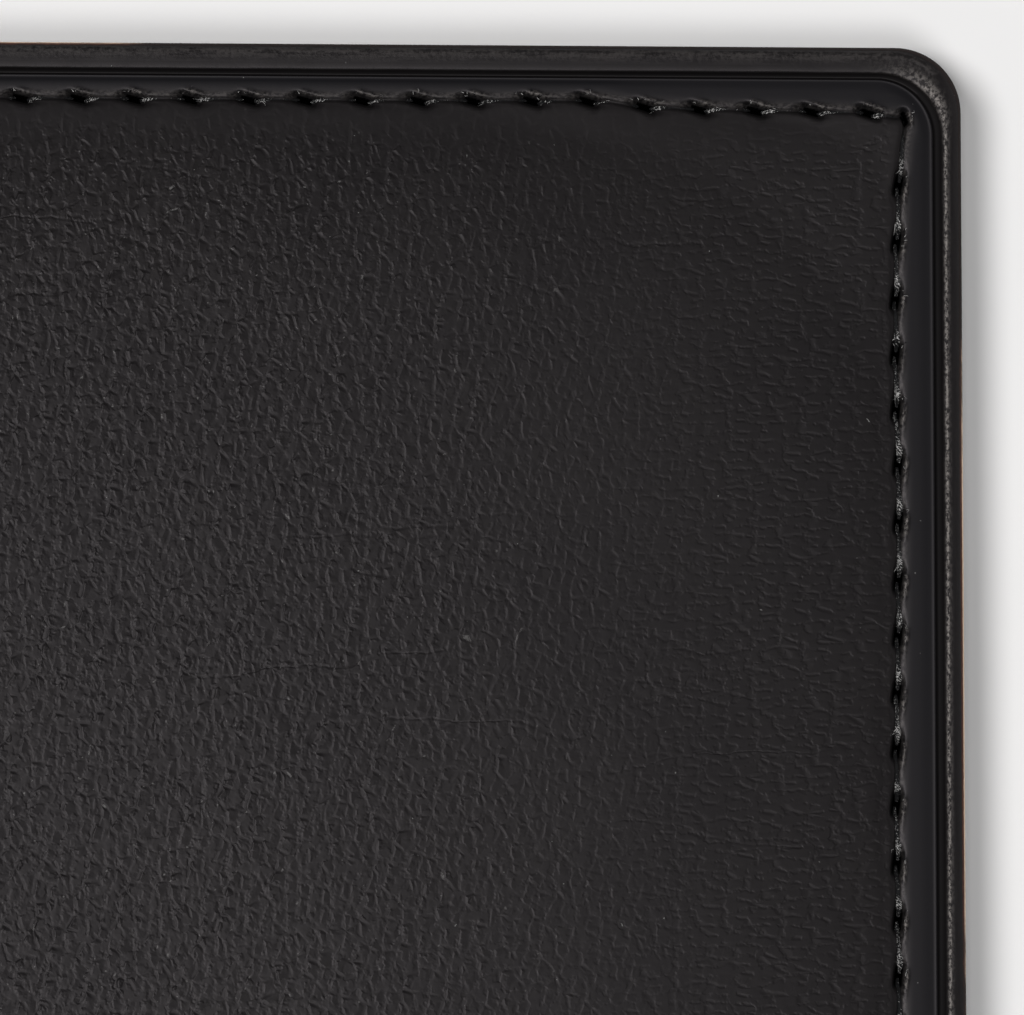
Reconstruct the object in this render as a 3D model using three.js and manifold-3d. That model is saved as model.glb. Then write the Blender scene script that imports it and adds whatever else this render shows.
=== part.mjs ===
import * as THREE from "three";
import { mergeVertices } from "three/addons/utils/BufferGeometryUtils.js";
import Module from "manifold-3d";

// Leather cover for a pad of forms, closed and empty, lying on its back panel. Millimetres.
// X runs from the spine to the fore edge, Y from the tail to the head, Z from the back to the front.

// The pad that the cover is made for, and the margins round it
const padWidth = 140;
const padHeight = 216;
const padEase = 1.1; // side play of the pad's backing card between the pocket's seams
const headMargin = 10; // from the pad to the head edge and to the tail edge
const spineMargin = 11; // from the spine's face to the pockets
const edgeMargin = 8; // from the pockets to the fore edge and to the tail edge

// Sheet materials
const leatherThickness = 1;
const liningThickness = 0.4;
const boardThickness = 0.8;
const feltThickness = 0.4;
const feltEdge = 0.1; // what the skived felt keeps at its edge
const pocketThickness = 0.6;
const glueLine = 0.1;
const closingGap = 0.3; // air between the two closed pages

// Rim of each panel, measured inwards from the cut edge
const cornerRadius = 4.4;
const edgeRound = 0.35;
const edgeFacet = 0.3; // share of that rounding at its middle facet
const creaseInset = 1.75;
const creaseWidth = 0.6;
const creaseDepth = 0.4;
const creaseRadius = 4.0;
const seamInset = 4.2;
const seamWidth = 1.1;
const seamDepth = 0.55;
const seamRadius = 0.3;
const seamLand = 0.2; // flat strip between the seam and the padded shoulder
const shoulderWidth = 8; // over which the padded field rises
const shoulderRadius = 4; // that the shoulder's corner gains on its way up
const boardEase = 0.5; // from the board to the leather's rising underside

// Stitches
const stitchPitch = 3.8;
const threadWidth = 0.5;
const threadHeight = 0.28;
const threadCrown = 0.5; // share of the thread's width on its top
const holeThreadWidth = 0.28; // where the thread is drawn into a needle hole
const holeThreadHeight = 0.16;
const threadEase = 0.08; // between the thread and the walls of its channel

// Spine fold
const spineRadius = 2.5;
const foldAxisDepth = 1.1; // from the rim's outer face to the axis that a panel folds about
const knuckleRadius = 1.5; // of the spine's edge round that axis
const foldGap = 0.3; // between the spine's edge and the panel's hollow end
const hingeLand = 0.8; // flat leather between the panel's end and its padded shoulder
const spineStitchTurn = 0.4 * Math.PI; // how far the spine's stitches follow each bend

// Pockets
const padPocketHeight = 140;
const documentSpineHeight = 150; // the slanted mouth is lower beside the spine
const documentForeHeight = 176;
const cardWidth = 89;
const cardHeight = 51;
const cardEase = 1.5; // round a card inside its pocket
const cardDrop = 14; // from the document pocket's foot to the card pocket's foot
const pocketRadius = 4;
const pocketEdgeRound = 0.2;
const pocketSeamInset = 2.5;
const pocketSeamWidth = 0.9;
const pocketSeamDepth = 0.3;

// Facets
const cornerSteps = 5; // of a corner
const spineSteps = 6; // of a bend
const knuckleSides = 48;
const shoulderSteps = 4;
const spineStitchSteps = 4; // in each stitch round the spine

// Sizes that follow
const pocketSeamRoom = 2 * (pocketSeamInset + pocketSeamWidth / 2); // what two seams take from a pocket
const pocketWidth = padWidth + padEase + pocketSeamRoom;
const closedWidth = spineMargin + pocketWidth + edgeMargin;
const coverHeight = padHeight + 2 * headMargin;
const foreX = closedWidth / 2;
const spineX = -foreX;
const headY = coverHeight / 2;
const rimThickness = liningThickness + glueLine + leatherThickness;
const cavityHeight = boardThickness + feltThickness + 2 * glueLine;
const panelThickness = rimThickness + cavityHeight;
const pocketLayer = pocketThickness + glueLine;
const pageGap = 3 * pocketLayer + closingGap; // the pad pocket under the document and card pockets
const closedThickness = 2 * panelThickness + pageGap;
const foldX = spineX + foldAxisDepth;
const foldReach = foldAxisDepth + knuckleRadius + foldGap;
const shoulderStart = seamInset + seamWidth / 2 + seamLand;
const past = 10; // how far a cutting body runs beyond the cover

const finish = (color, roughness) =>
  new THREE.MeshStandardMaterial({ color, roughness, metalness: 0, flatShading: true });
const materials = {
  leather: () => finish(0x2a2829, 0.5),
  pocket: () => finish(0x262425, 0.55),
  lining: () => finish(0x1e1e21, 0.9),
  thread: () => finish(0x0e0e10, 0.4),
  board: () => finish(0x8c8272, 0.95),
  felt: () => finish(0x4c4a48, 1),
};

const wasm = await Module();
wasm.setup();

function solidOf(geometry) {
  const bare = geometry.clone();
  bare.deleteAttribute("normal");
  bare.deleteAttribute("uv");
  const merged = mergeVertices(bare);
  const vertProperties = new Float32Array(merged.attributes.position.array);
  const triVerts = new Uint32Array(merged.index.array);
  return new wasm.Manifold(new wasm.Mesh({ numProp: 3, vertProperties, triVerts }));
}

function geometryOf(solid) {
  const mesh = solid.getMesh();
  const geometry = new THREE.BufferGeometry();
  geometry.setAttribute("position", new THREE.BufferAttribute(mesh.vertProperties, 3));
  geometry.setIndex(new THREE.BufferAttribute(mesh.triVerts, 1));
  return geometry;
}

function fan(count) {
  return Array.from({ length: count - 2 }, (_, k) => [0, k + 1, k + 2]);
}

// Closed body through loops of equal length, each counterclockwise as seen from the last one
function loft(loops, cap = fan(loops[0].length)) {
  const count = loops[0].length;
  const last = (loops.length - 1) * count;
  const index = [];
  for (let row = 0; row < last; row += count) {
    for (let k = 0; k < count; k += 1) {
      const next = (k + 1) % count;
      const [a, b, c, d] = [row + k, row + next, row + count + next, row + count + k];
      index.push(a, b, c, a, c, d);
    }
  }
  cap.forEach(([a, b, c]) => index.push(c, b, a, last + a, last + b, last + c));
  const geometry = new THREE.BufferGeometry().setFromPoints(loops.flat());
  geometry.setIndex(index);
  return geometry;
}

function addMesh(group, name, geometry, material) {
  geometry.computeVertexNormals();
  const mesh = new THREE.Mesh(geometry, material);
  mesh.name = name;
  group.add(mesh);
}

// Rounded loop inside a convex outline, with an inset for each of its sides
function roundedLoop(corners, insets, radius, height) {
  const sides = corners.map((corner, k) => {
    const along = corners[(k + 1) % corners.length].clone().sub(corner).normalize();
    const outward = new THREE.Vector2(along.y, -along.x);
    return { outward, reach: outward.dot(corner) - insets[k] - radius };
  });
  return sides.flatMap((side, k) => {
    const before = sides[(k + sides.length - 1) % sides.length];
    const turn = before.outward.cross(side.outward);
    const centreX = (before.reach * side.outward.y - side.reach * before.outward.y) / turn;
    const centreY = (side.reach * before.outward.x - before.reach * side.outward.x) / turn;
    const start = before.outward.angle();
    const sweep = Math.atan2(turn, before.outward.dot(side.outward));
    return Array.from({ length: cornerSteps + 1 }, (_, step) => {
      const angle = start + (sweep * step) / cornerSteps;
      const x = centreX + radius * Math.cos(angle);
      const y = centreY + radius * Math.sin(angle);
      return new THREE.Vector3(x, y, height);
    });
  });
}

function rectangle(left, bottom, right, top) {
  return [
    new THREE.Vector2(left, bottom),
    new THREE.Vector2(right, bottom),
    new THREE.Vector2(right, top),
    new THREE.Vector2(left, top),
  ];
}

// Rim from the cut edge inwards: bead, crease, flat band and seam channel, as depths below the outer face
const rim = [
  { inset: 0, depth: edgeRound, radius: cornerRadius },
  { inset: edgeFacet * edgeRound, depth: edgeFacet * edgeRound, radius: cornerRadius },
  { inset: edgeRound, depth: 0, radius: cornerRadius },
  { inset: creaseInset - creaseWidth / 2, depth: 0, radius: creaseRadius },
  { inset: creaseInset, depth: creaseDepth, radius: creaseRadius },
  { inset: creaseInset + creaseWidth / 2, depth: 0, radius: creaseRadius },
  { inset: seamInset - seamWidth / 2, depth: 0, radius: seamRadius + seamWidth / 2 },
  { inset: seamInset, depth: seamDepth, radius: seamRadius },
  { inset: seamInset + seamWidth / 2, depth: 0, radius: seamRadius },
];

// A panel lies in a frame of its own: Z is 0 on the lining's inner face and grows outwards.
const panelOutline = rectangle(spineX, -headY, foreX, headY);
const leatherZ = liningThickness + glueLine;

function panelLoop(inset, spineInset, radius, height) {
  return roundedLoop(panelOutline, [inset, inset, inset, spineInset], radius, height);
}

// The rim's loops run past the spine side, where the fold cuts them off
function rimLoop(inset, radius, height) {
  return panelLoop(inset, inset - shoulderStart, radius, height);
}

const shoulderRise = (share) => cavityHeight * (1 - (1 - share) ** 2);
const shoulderShare = (height) => 1 - Math.sqrt(1 - height / cavityHeight);

// Loop on the padded shoulder, from share 0 at the seam to share 1 on the flat field
function shoulderLoop(share, height) {
  const run = share * shoulderWidth;
  const radius = seamRadius + share * shoulderRadius;
  return panelLoop(shoulderStart + run, foldReach + hingeLand + run, radius, height);
}

const shoulderShares = Array.from({ length: shoulderSteps + 1 }, (_, k) => k / shoulderSteps);

function outerLeather() {
  const faceZ = leatherZ + leatherThickness;
  const underside = shoulderShares.map((share) => shoulderLoop(share, leatherZ + shoulderRise(share)));
  const outside = shoulderShares.map((share) => shoulderLoop(share, faceZ + shoulderRise(share)));
  return loft([
    ...underside.reverse(),
    rimLoop(0, cornerRadius, leatherZ),
    ...rim.map(({ inset, depth, radius }) => rimLoop(inset, radius, faceZ - depth)),
    ...outside,
  ]);
}

// What the fold takes off a panel: all on the spine side of its axis, and a round hollow about it
function foldCutter() {
  const length = coverHeight + past;
  const hollow = new THREE.CylinderGeometry(
    knuckleRadius + foldGap,
    knuckleRadius + foldGap,
    length,
    knuckleSides,
  );
  const rest = new THREE.BoxGeometry(past, length, past);
  rest.translate(-past / 2, 0, 0);
  const cutter = geometryOf(solidOf(hollow).add(solidOf(rest)));
  return cutter.translate(foldX, 0, rimThickness - foldAxisDepth);
}

function cutAtFold(geometry) {
  return geometryOf(solidOf(geometry).subtract(solidOf(foldCutter())));
}

function liningSheet() {
  return loft([rimLoop(0, cornerRadius, 0), rimLoop(0, cornerRadius, liningThickness)]);
}

function stiffBoard() {
  const share = shoulderShare(boardThickness + glueLine) + boardEase / shoulderWidth;
  return loft([shoulderLoop(share, leatherZ), shoulderLoop(share, leatherZ + boardThickness)]);
}

// Felt on the board, skived to a thin edge where the leather comes down over it
function feltSheet() {
  const footZ = boardThickness + glueLine;
  const start = shoulderShare(footZ + feltEdge + glueLine);
  const tops = [start, (start + 1) / 2, 1].map((share) =>
    shoulderLoop(share, leatherZ + shoulderRise(share) - glueLine),
  );
  return loft([shoulderLoop(start, leatherZ + footZ), ...tops]);
}

// Section of the thread in its channel: full between needle holes, drawn thin and low at each of them
function threadLoop({ point, side, up, isHole }, channelWidth, channelDepth) {
  const width = isHole ? holeThreadWidth : threadWidth;
  const height = isHole ? holeThreadHeight : threadHeight;
  const foot = threadEase - channelDepth * (1 - width / channelWidth);
  const corner = (across, rise) => point.clone().addScaledVector(side, across).addScaledVector(up, rise);
  return [
    corner(-width / 2, foot),
    corner(width / 2, foot),
    corner((threadCrown * width) / 2, foot + height),
    corner((-threadCrown * width) / 2, foot + height),
  ];
}

// Stations of a row of stitches along straight runs, with a needle hole at every corner
function flatStitches(corners) {
  const up = new THREE.Vector3(0, 0, 1);
  const stations = [];
  let lastSide = null;
  corners.slice(1).forEach((end, k) => {
    const run = end.clone().sub(corners[k]);
    const halves = 2 * Math.round(run.length() / stitchPitch);
    const side = up.clone().cross(run).normalize();
    const mitre = lastSide ? side.clone().add(lastSide) : side;
    for (let step = 0; step < halves; step += 1) {
      const point = corners[k].clone().addScaledVector(run, step / halves);
      stations.push({ point, side: step === 0 ? mitre : side, up, isHole: step % 2 === 0 });
    }
    lastSide = side;
  });
  stations.push({ point: corners.at(-1), side: lastSide, up, isHole: true });
  return stations;
}

function stitchRow(stations, channelWidth, channelDepth) {
  return loft(stations.map((station) => threadLoop(station, channelWidth, channelDepth)));
}

// Round three sides of a panel, from the fold at the tail to the fold at the head
function panelStitches() {
  const startX = spineX + foldReach;
  const endX = foreX - seamInset;
  const endY = headY - seamInset;
  const corners = [
    new THREE.Vector3(startX, -endY, rimThickness),
    new THREE.Vector3(endX, -endY, rimThickness),
    new THREE.Vector3(endX, endY, rimThickness),
    new THREE.Vector3(startX, endY, rimThickness),
  ];
  return stitchRow(flatStitches(corners), seamWidth, seamDepth);
}

function coverPanel(name) {
  const panel = new THREE.Group();
  addMesh(panel, `${name}_lining`, cutAtFold(liningSheet()), materials.lining());
  addMesh(panel, `${name}_board`, stiffBoard(), materials.board());
  addMesh(panel, `${name}_felt`, feltSheet(), materials.felt());
  addMesh(panel, `${name}_leather`, cutAtFold(outerLeather()), materials.leather());
  addMesh(panel, `${name}_seam_thread`, panelStitches(), materials.thread());
  return panel;
}

// The spine's section is drawn in X and Z, between two depths below its outer face.
const spineBottom = cavityHeight;
const spineTop = closedThickness - cavityHeight;
const bendRadius = Math.min(spineRadius, (spineTop - spineBottom) / 2);
const bendX = spineX + bendRadius;

function bend(centreZ, radius, startAngle, endAngle) {
  return Array.from({ length: spineSteps + 1 }, (_, step) => {
    const angle = startAngle + ((endAngle - startAngle) * step) / spineSteps;
    return [bendX + radius * Math.cos(angle), centreZ + radius * Math.sin(angle)];
  });
}

function spineLoop(outerDepth, innerDepth, along) {
  const armX = bendX + bendRadius;
  const lowZ = spineBottom + bendRadius;
  const highZ = spineTop - bendRadius;
  const outerRadius = bendRadius - outerDepth;
  const innerRadius = bendRadius - innerDepth;
  const points = [
    [armX, spineBottom + innerDepth],
    ...bend(lowZ, innerRadius, 1.5 * Math.PI, Math.PI),
    ...bend(highZ, innerRadius, Math.PI, 0.5 * Math.PI),
    [armX, spineTop - innerDepth],
    [armX, spineTop - outerDepth],
    ...bend(highZ, outerRadius, 0.5 * Math.PI, Math.PI),
    ...bend(lowZ, outerRadius, Math.PI, 1.5 * Math.PI),
    [armX, spineBottom + outerDepth],
  ];
  return points.map(([x, z]) => new THREE.Vector3(x, z, along));
}

// Layer of the spine between its tail and head, with its edges rounded off about both fold axes
function spineLayer(sections) {
  const loops = sections.map(({ along, outerDepth, innerDepth }) => spineLoop(outerDepth, innerDepth, along));
  const flat = loops[0].map(({ x, y }) => new THREE.Vector2(x, y));
  const layer = loft(loops, THREE.ShapeUtils.triangulateShape(flat, []));
  layer.rotateX(Math.PI / 2);
  const length = coverHeight + past;
  const wall = new THREE.BoxGeometry(rimThickness + past, length, closedThickness + past);
  wall.translate(spineX + rimThickness + glueLine - (rimThickness + past) / 2, 0, closedThickness / 2);
  const kept = [spineBottom + foldAxisDepth, spineTop - foldAxisDepth].reduce((region, foldZ) => {
    const knuckle = new THREE.CylinderGeometry(knuckleRadius, knuckleRadius, length, knuckleSides);
    return region.add(solidOf(knuckle.translate(foldX, 0, foldZ)));
  }, solidOf(wall));
  return geometryOf(solidOf(layer).intersect(kept));
}

function spineLeather() {
  const ends = rim.map(({ inset, depth }) => ({
    along: headY - inset,
    outerDepth: depth,
    innerDepth: leatherThickness,
  }));
  const tails = ends.map((section) => ({ ...section, along: -section.along }));
  return spineLayer([...tails, ...ends.reverse()]);
}

function spineLining() {
  const depths = { outerDepth: leatherThickness + glueLine, innerDepth: rimThickness };
  return spineLayer([
    { along: -headY, ...depths },
    { along: headY, ...depths },
  ]);
}

// Stitches round the outside of the spine, the part of the seam between its two folds
function spineStitches(seamY) {
  const lowZ = spineBottom + bendRadius;
  const highZ = spineTop - bendRadius;
  const arc = spineStitchTurn * bendRadius;
  const length = 2 * arc + highZ - lowZ;
  const steps = spineStitchSteps * Math.round(length / stitchPitch);
  const stations = Array.from({ length: steps + 1 }, (_, step) => {
    const travel = (length * step) / steps;
    const below = Math.max(0, arc - travel);
    const above = Math.max(0, travel - (length - arc));
    const angle = Math.PI + (below - above) / bendRadius;
    const straight = Math.min(Math.max(travel - arc, 0), highZ - lowZ);
    const up = new THREE.Vector3(Math.cos(angle), 0, Math.sin(angle));
    const point = new THREE.Vector3(bendX, seamY, lowZ + straight).addScaledVector(up, bendRadius);
    return { point, side: new THREE.Vector3(0, 1, 0), up, isHole: step % spineStitchSteps === 0 };
  });
  return stitchRow(stations, seamWidth, seamDepth);
}

function spine() {
  const group = new THREE.Group();
  const seamY = headY - seamInset;
  addMesh(group, "spine_leather", spineLeather(), materials.leather());
  addMesh(group, "spine_lining", spineLining(), materials.lining());
  addMesh(group, "spine_head_thread", spineStitches(seamY), materials.thread());
  addMesh(group, "spine_tail_thread", spineStitches(-seamY), materials.thread());
  return group;
}

// A page is a lining's inner face with its pockets. Its Z is 0 there and grows into the cover.
function pocketSheet(outline, footZ) {
  const topZ = footZ + pocketThickness;
  const loop = (inset, radius, height) => roundedLoop(outline, Array(4).fill(inset), radius, height);
  return loft([
    loop(0, pocketRadius, footZ),
    loop(0, pocketRadius, topZ - pocketEdgeRound),
    loop(pocketEdgeRound, pocketRadius, topZ),
    loop(pocketSeamInset - pocketSeamWidth / 2, seamRadius + pocketSeamWidth / 2, topZ),
    loop(pocketSeamInset, seamRadius, topZ - pocketSeamDepth),
    loop(pocketSeamInset + pocketSeamWidth / 2, seamRadius, topZ),
  ]);
}

// Down one side of a pocket, along its foot and up the other side
function pocketStitches(outline, footZ) {
  const [footLeft, footRight, mouthRight, mouthLeft] = outline;
  const left = footLeft.x + pocketSeamInset;
  const right = footRight.x - pocketSeamInset;
  const foot = footLeft.y + pocketSeamInset;
  const topZ = footZ + pocketThickness;
  const drop = 2 * pocketSeamInset; // below the mouth's corners
  const corners = [
    new THREE.Vector3(left, mouthLeft.y - drop, topZ),
    new THREE.Vector3(left, foot, topZ),
    new THREE.Vector3(right, foot, topZ),
    new THREE.Vector3(right, mouthRight.y - drop, topZ),
  ];
  return stitchRow(flatStitches(corners), pocketSeamWidth, pocketSeamDepth);
}

const pocketFoot = -headY + edgeMargin;

function backPage() {
  const page = new THREE.Group();
  const left = spineX + spineMargin;
  const outline = rectangle(left, pocketFoot, left + pocketWidth, pocketFoot + padPocketHeight);
  addMesh(page, "pad_pocket", pocketSheet(outline, glueLine), materials.pocket());
  addMesh(page, "pad_pocket_thread", pocketStitches(outline, glueLine), materials.thread());
  return page;
}

// The front page is seen as when the cover lies open, with the fore edge on its left.
function frontPage() {
  const page = new THREE.Group();
  const left = -foreX + edgeMargin;
  const right = left + pocketWidth;
  const documentOutline = [
    new THREE.Vector2(left, pocketFoot),
    new THREE.Vector2(right, pocketFoot),
    new THREE.Vector2(right, pocketFoot + documentSpineHeight),
    new THREE.Vector2(left, pocketFoot + documentForeHeight),
  ];
  const cardPocketWidth = cardWidth + cardEase + pocketSeamRoom;
  const cardPocketHeight = cardHeight + cardEase + pocketSeamRoom / 2;
  const cardLeft = (left + right - cardPocketWidth) / 2;
  const cardFoot = pocketFoot + cardDrop;
  const cardOutline = rectangle(
    cardLeft,
    cardFoot,
    cardLeft + cardPocketWidth,
    cardFoot + cardPocketHeight,
  );
  const cardZ = pocketLayer + glueLine;
  addMesh(page, "document_pocket", pocketSheet(documentOutline, glueLine), materials.pocket());
  addMesh(page, "document_pocket_thread", pocketStitches(documentOutline, glueLine), materials.thread());
  addMesh(page, "card_pocket", pocketSheet(cardOutline, cardZ), materials.pocket());
  addMesh(page, "card_pocket_thread", pocketStitches(cardOutline, cardZ), materials.thread());
  return page;
}

const cover = new THREE.Group();

const frontPanel = coverPanel("front");
frontPanel.position.z = panelThickness + pageGap;
cover.add(frontPanel);

const backPanel = coverPanel("back"); // the same panel turned over
backPanel.rotation.x = Math.PI;
backPanel.position.z = panelThickness;
cover.add(backPanel);

cover.add(spine());

const back = backPage();
back.position.z = panelThickness;
cover.add(back);

const front = frontPage();
front.rotation.y = Math.PI;
front.position.z = panelThickness + pageGap;
cover.add(front);

export default cover;
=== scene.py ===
import math
import bpy
import numpy as np
from mathutils import Matrix, Vector


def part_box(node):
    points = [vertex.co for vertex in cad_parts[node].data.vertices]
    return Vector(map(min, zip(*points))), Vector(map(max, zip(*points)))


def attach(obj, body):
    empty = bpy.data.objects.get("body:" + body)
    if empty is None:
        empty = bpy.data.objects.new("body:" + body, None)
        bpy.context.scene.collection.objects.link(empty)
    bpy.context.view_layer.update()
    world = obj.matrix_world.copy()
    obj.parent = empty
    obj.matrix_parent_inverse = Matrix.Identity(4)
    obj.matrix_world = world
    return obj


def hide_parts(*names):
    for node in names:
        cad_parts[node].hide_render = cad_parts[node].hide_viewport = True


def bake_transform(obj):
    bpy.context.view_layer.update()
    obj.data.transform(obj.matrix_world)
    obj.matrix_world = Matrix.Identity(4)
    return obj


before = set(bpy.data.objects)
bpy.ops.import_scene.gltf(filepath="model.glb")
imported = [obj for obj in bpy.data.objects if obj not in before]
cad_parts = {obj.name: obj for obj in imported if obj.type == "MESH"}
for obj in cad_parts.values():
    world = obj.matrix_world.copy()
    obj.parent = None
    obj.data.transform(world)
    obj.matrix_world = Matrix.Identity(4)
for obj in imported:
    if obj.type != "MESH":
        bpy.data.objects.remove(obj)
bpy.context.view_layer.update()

mm = 0.001
tau = 2 * math.pi

# sizes that every sheet shares, in millimetres
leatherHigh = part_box("front_leather")[1] / mm
cover = {
    "padding": 1.4,      # rise of the padded field above the rim
    "leather": 1.0,
    "lining": 0.4,
    "glue": 0.1,
    "bendRadius": 2.5,   # outside of the spine's two bends
    "seam": 4.2,         # from the cut edge to the stitches
}
foreX, headY, topZ = leatherHigh
bend = cover["bendRadius"]
rimZ = topZ - cover["padding"]
bendX = bend - foreX
bendEnd = bendX - bend * math.pi / 2
midSpine = bendEnd - (rimZ - bend - topZ / 2)   # the front and back halves meet here
liningOut = -cover["leather"] - cover["glue"]
liningIn = liningOut - cover["lining"]
frontPageZ = rimZ + liningIn                    # inner faces of the two linings
backPageZ = topZ - frontPageZ
flatFrom = -78.0   # clear of the bend, so sheets are flat from here to the fore edge
fieldEdge = 7.0    # the grid inside the rim stops this far from the cut edge


# a sheet is drawn flat: s across, y along, h above the outer face of the rim
def frontPlace(s, y, h):
    s, y, h = np.broadcast_arrays(*(np.asarray(v, float) for v in (s, y, h)))
    turn = np.clip((bendX - s) / bend, 0, math.pi / 2)
    x = np.where(s >= bendX, s, bendX - (bend + h) * np.sin(turn))
    z = rimZ - bend + (bend + h) * np.cos(turn) - np.maximum(bendEnd - s, 0)
    return np.stack([x, y, z], -1)


def backPlace(s, y, h):
    return frontPlace(s, y, h) * (1, 1, -1) + (0, 0, topZ)


def backPagePlace(x, y, h):
    return np.stack(np.broadcast_arrays(x, y, backPageZ + np.asarray(h)), -1).astype(float)


def frontPagePlace(x, y, h):
    return np.stack(np.broadcast_arrays(x, y, frontPageZ - np.asarray(h)), -1).astype(float)


def smooth(low, high, value):
    share = np.clip((np.asarray(value, float) - low) / (high - low), 0, 1)
    return share * share * (3 - 2 * share)


# rises between the first two places and falls between the last two
def between(value, start, full, fade, end):
    return smooth(start, full, value) * (1 - smooth(fade, end, value))


def unit(vectors):
    return vectors / np.linalg.norm(vectors, axis=-1, keepdims=True)


def hump(value, middle, wide):
    return np.exp(-(((value - middle) / wide) ** 2))


def throughKnots(value, knots):
    value = np.asarray(value, float)
    places, heights = np.array(sorted(knots)).T
    spot = np.clip(np.searchsorted(places, value) - 1, 0, len(places) - 2)
    share = smooth(0, 1, (value - places[spot]) / (places[spot + 1] - places[spot]))
    return heights[spot] + share * (heights[spot + 1] - heights[spot])


# soft random ups and downs between -1 and 1
def wander(value, step, seed, count=4000):
    value = np.asarray(value, float)
    heights = np.random.default_rng(seed).uniform(-1, 1, count)
    spot = np.floor(value / step).astype(int)
    share = smooth(0, 1, value / step - spot)
    return heights[spot % count] * (1 - share) + heights[(spot + 1) % count] * share


def gridFaces(rows, columns, first=0, closed=False):
    i, j = np.meshgrid(np.arange(rows - 1), np.arange(columns if closed else columns - 1), indexing="ij")
    k = (j + 1) % columns
    corners = [i * columns + j, i * columns + k, (i + 1) * columns + k, (i + 1) * columns + j]
    return (first + np.stack(corners, -1)).reshape(-1, 4).tolist()


# triangles between two lines of points that run side by side
def zipFaces(outer, outerAt, inner, innerAt):
    faces, a, b = [], 0, 0
    while a < len(outer) - 1 or b < len(inner) - 1:
        if b == len(inner) - 1 or (a < len(outer) - 1 and outerAt[a + 1] <= innerAt[b + 1]):
            faces.append((int(outer[a]), int(outer[a + 1]), int(inner[b])))
            a += 1
        else:
            faces.append((int(outer[a]), int(inner[b + 1]), int(inner[b])))
            b += 1
    return faces


def makePiece(name, points, faces, finish, fields, flip=False):
    mesh = bpy.data.meshes.new(name)
    faces = [f[::-1] for f in faces] if flip else faces
    mesh.from_pydata((points.reshape(-1, 3) * mm).tolist(), [], faces)
    for field, values in fields.items():
        layer = mesh.attributes.new(field, "FLOAT_VECTOR", "POINT")
        layer.data.foreach_set("vector", np.asarray(values, np.float32).ravel())
    mesh.shade_smooth()
    mesh.update()
    mesh.materials.append(finish)
    piece = bpy.data.objects.new(name, mesh)
    bpy.context.collection.objects.link(piece)
    return piece


# short ways to add and join nodes; they work on the tree that was started last
bench = {"tree": None}


def setSockets(inputs, sockets):
    for key, value in sockets.items():
        if isinstance(value, bpy.types.NodeSocket):
            bench["tree"].links.new(value, inputs[key])
        else:
            inputs[key].default_value = value


def addNode(kind, sockets=None, **settings):
    node = bench["tree"].nodes.new(kind)
    for key, value in settings.items():
        setattr(node, key, value)
    setSockets(node.inputs, sockets or {})
    return node


def calc(operation, a, b=0.0):
    return addNode("ShaderNodeMath", {0: a, 1: b}, operation=operation).outputs[0]


def mult(*values):
    total = values[0]
    for value in values[1:]:
        total = calc("MULTIPLY", total, value)
    return total


def plus(*values):
    total = values[0]
    for value in values[1:]:
        total = calc("ADD", total, value)
    return total


def inverse(value):
    return calc("SUBTRACT", 1.0, value)


def ramp(value, low, high, start=0.0, end=1.0):
    sockets = {"Value": value, "From Min": low, "From Max": high, "To Min": start, "To Max": end}
    return addNode("ShaderNodeMapRange", sockets, interpolation_type="SMOOTHSTEP").outputs[0]


def mixColour(share, a, b):
    return addNode("ShaderNodeMix", {0: share, 6: a, 7: b}, data_type="RGBA").outputs[2]


def mixValue(share, a, b):
    return addNode("ShaderNodeMix", {0: share, 2: a, 3: b}, data_type="FLOAT").outputs[0]


def stretch(place, scale, turn=0.0, shift=(0.0, 0.0, 0.0)):
    sockets = {"Vector": place, "Location": shift, "Rotation": (0.0, 0.0, turn), "Scale": scale}
    return addNode("ShaderNodeMapping", sockets).outputs[0]


def noise(place, scale, detail=2.0, rough=0.5, colour=False, flat="2D"):
    sockets = {"Vector": place, "Scale": scale, "Detail": detail, "Roughness": rough}
    node = addNode("ShaderNodeTexNoise", sockets, noise_dimensions=flat)
    return node.outputs["Color" if colour else "Fac"]


def joinXY(x, y):
    return addNode("ShaderNodeCombineXYZ", {0: x, 1: y}).outputs[0]


def split(vector):
    return addNode("ShaderNodeSeparateXYZ", {0: vector}).outputs[:3]


def readField(name):
    return addNode("ShaderNodeAttribute", attribute_name=name).outputs["Vector"]


def rgb(r, g, b):
    return (r, g, b, 1.0)


def startGroup(name, inputs, outputs):
    group = bench["tree"] = bpy.data.node_groups.new(name, "ShaderNodeTree")
    for way, labels in (("INPUT", inputs), ("OUTPUT", outputs)):
        for label, kind in labels.items():
            group.interface.new_socket(label, in_out=way, socket_type="NodeSocket" + kind)
    return group, addNode("NodeGroupInput").outputs, addNode("NodeGroupOutput").inputs


def useGroup(group, sockets):
    return addNode("ShaderNodeGroup", sockets, node_tree=group).outputs


def startFinish(name):
    finish = bpy.data.materials.new(name)
    finish.use_nodes = True
    bench["tree"] = finish.node_tree
    return finish, finish.node_tree.nodes["Principled BSDF"]


def setBump(shader, height):
    bump = addNode("ShaderNodeBump", {"Height": height, "Distance": mm})
    setSockets(shader.inputs, {"Normal": bump.outputs[0]})


# pebbled plates with pressed valleys that come and go, and a few long soft folds; heights in millimetres
grainLook = {
    "warp": 0.6,             # how far the plates are pushed about
    "loose": 0.8,            # how unlike the plates are
    "valley": -0.02,
    "puckerValley": -0.05,   # between the level puckers beside the fore edge
    "leaning": -0.085,       # plates tilt, so that an edge stands up
    "smallValley": -0.012,
    "smallLeaning": -0.04,
    "crease": -0.024,
    "pores": 0.004,
    "swell": 0.02,
}


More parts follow.
